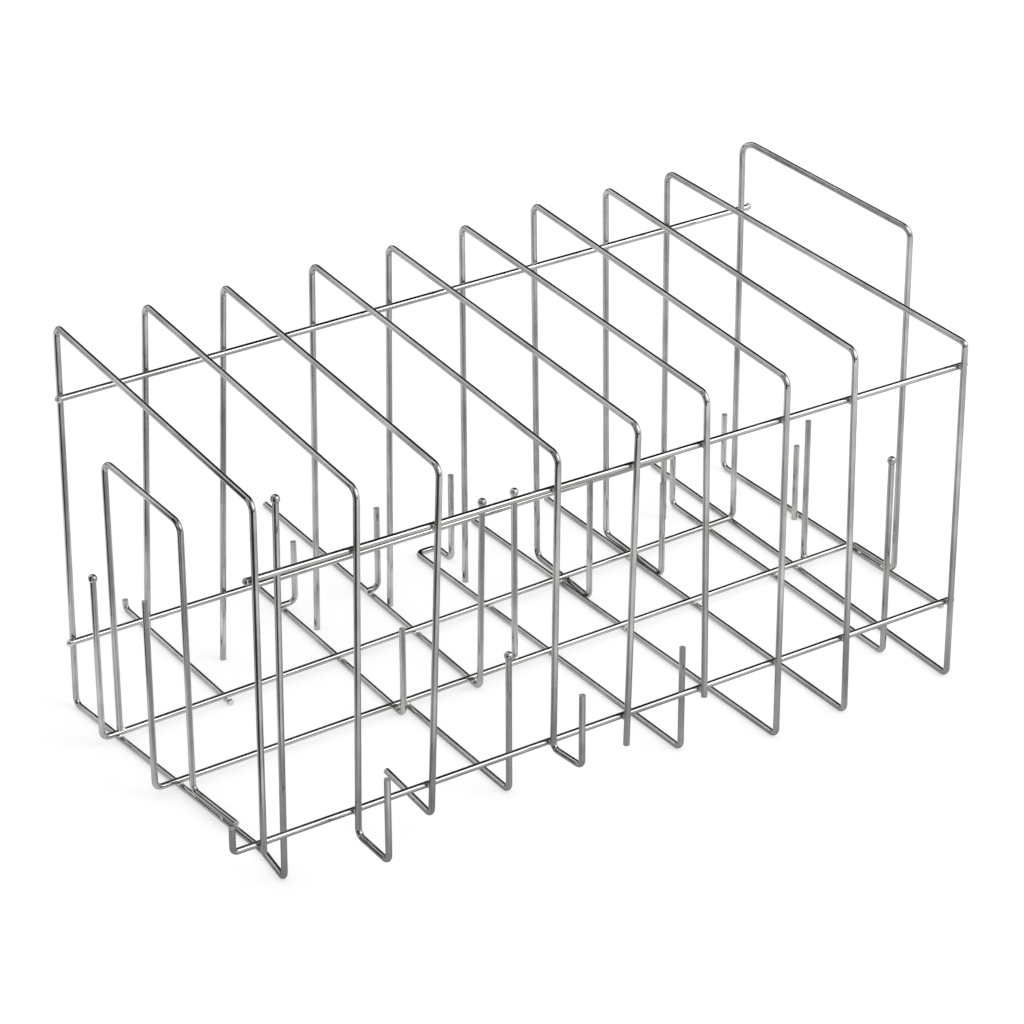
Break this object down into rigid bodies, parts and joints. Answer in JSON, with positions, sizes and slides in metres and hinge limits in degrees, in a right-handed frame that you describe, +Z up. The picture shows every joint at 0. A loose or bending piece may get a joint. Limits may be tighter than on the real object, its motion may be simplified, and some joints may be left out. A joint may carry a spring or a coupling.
{
  "type": "sterilization pouch rack",
  "caption": "Welded round-wire rack that holds sterilization pouches on edge between upright hoops.",
  "frame": {"origin": "on the floor, under the middle of the whole rack", "axes": "+X along the row of hoops, from the first hoop to the end hoop; +Y to the far side; +Z up"},
  "size_m": [0.4004, 0.3294, 0.1995],
  "materials": {
    "wire": "bright drawn stainless wire, darker at the welds"
  },
  "bodies": {
    "root": {"end_bar_post": "wire", "end_floor_bar": "wire", "far_lower_rail": "wire", "far_upper_rail": "wire", "floor_bar_a": "wire", "floor_bar_b": "wire", "floor_bar_c": "wire", "floor_bar_d": "wire", "floor_bar_e": "wire", "floor_frame": "wire", "hook_bar": "wire", "hoop_1": "wire", "hoop_2": "wire", "hoop_3": "wire", "hoop_4": "wire", "hoop_5": "wire", "hoop_6": "wire", "hoop_7": "wire", "hoop_8": "wire", "hoop_9": "wire", "last_rail_post": "wire", "middle_post": "wire", "near_lower_rail": "wire", "near_upper_rail": "wire", "rail_post": "wire", "small_post": "wire", "start_loop": "wire"}
  },
  "joints": []
}
